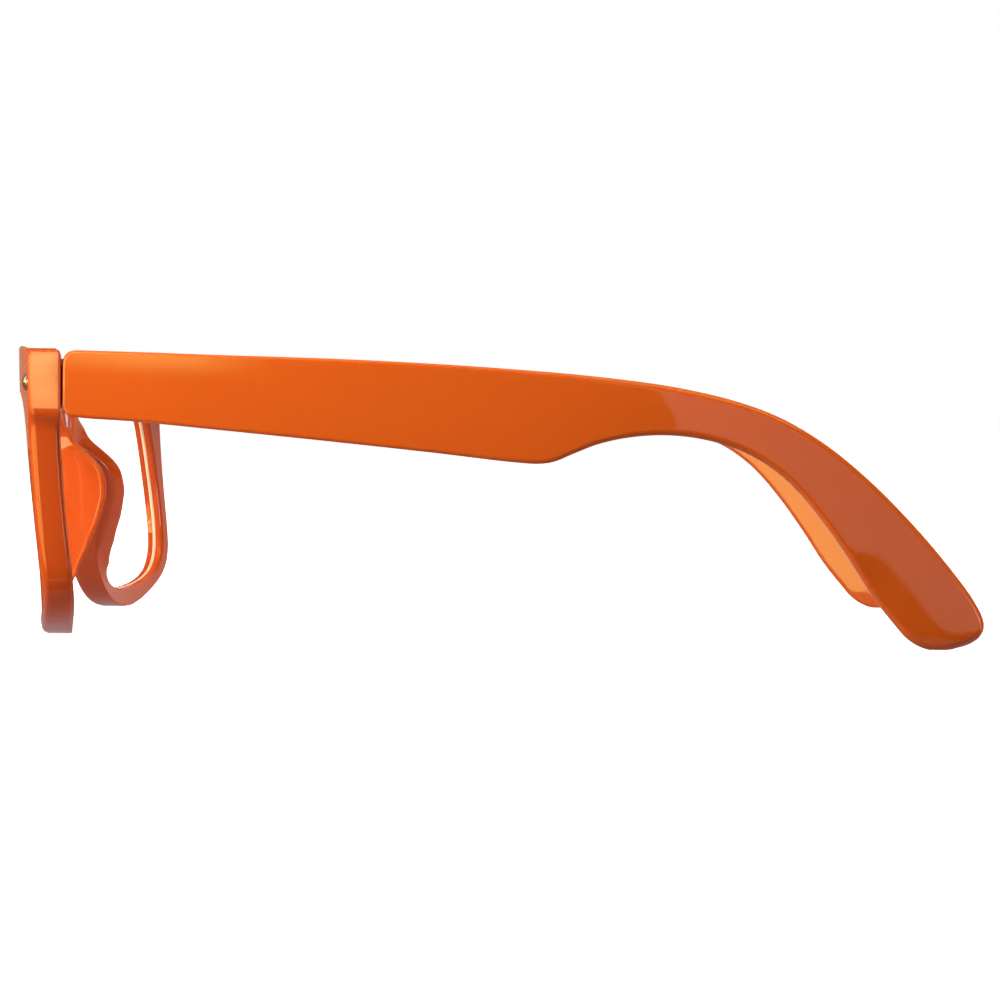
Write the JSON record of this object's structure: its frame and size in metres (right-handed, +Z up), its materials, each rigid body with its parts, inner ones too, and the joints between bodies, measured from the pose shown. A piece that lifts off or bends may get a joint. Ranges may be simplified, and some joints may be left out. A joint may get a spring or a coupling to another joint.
{
  "type": "eyeglasses",
  "caption": "Child's glasses with a one-piece glossy plastic front, moulded nose pads, clear lenses and two temples that fold inwards on barrel hinges.",
  "frame": {"origin": "on the surface that the open glasses stand on, under the middle of their box", "axes": "+Z up; the front faces -Y and the temples run towards +Y; +X is the wearer's left, and X is the line of mirror symmetry"},
  "size_m": [0.1218, 0.1354, 0.0399],
  "materials": {
    "frame_plastic": "high gloss, injection moulded",
    "lens": "clear polycarbonate with a faint blue coating",
    "hinge_metal": "satin",
    "screw_metal": "bright",
    "rivet_chrome": "polished"
  },
  "bodies": {
    "front": {"front_frame": "frame_plastic", "left_lens": "lens", "right_lens": "lens", "left_front_hinge_leaf": "hinge_metal", "right_front_hinge_leaf": "hinge_metal", "left_hinge_screw": "screw_metal", "right_hinge_screw": "screw_metal", "left_front_rivet": "rivet_chrome", "right_front_rivet": "rivet_chrome"},
    "left_temple": {"left_temple": "frame_plastic", "left_temple_hinge_leaf": "hinge_metal"},
    "right_temple": {"right_temple": "frame_plastic", "right_temple_hinge_leaf": "hinge_metal"}
  },
  "joints": [
    {"name": "left_temple_fold", "type": "hinge", "parent": "front", "child": "left_temple", "pos_m": [0.0546, -0.0539, 0.03515], "axis": [0, 0, 1], "range_deg": [0, 87]},
    {"name": "right_temple_fold", "type": "hinge", "parent": "front", "child": "right_temple", "pos_m": [-0.0546, -0.0539, 0.03515], "axis": [0, 0, -1], "range_deg": [0, 73]}
  ]
}
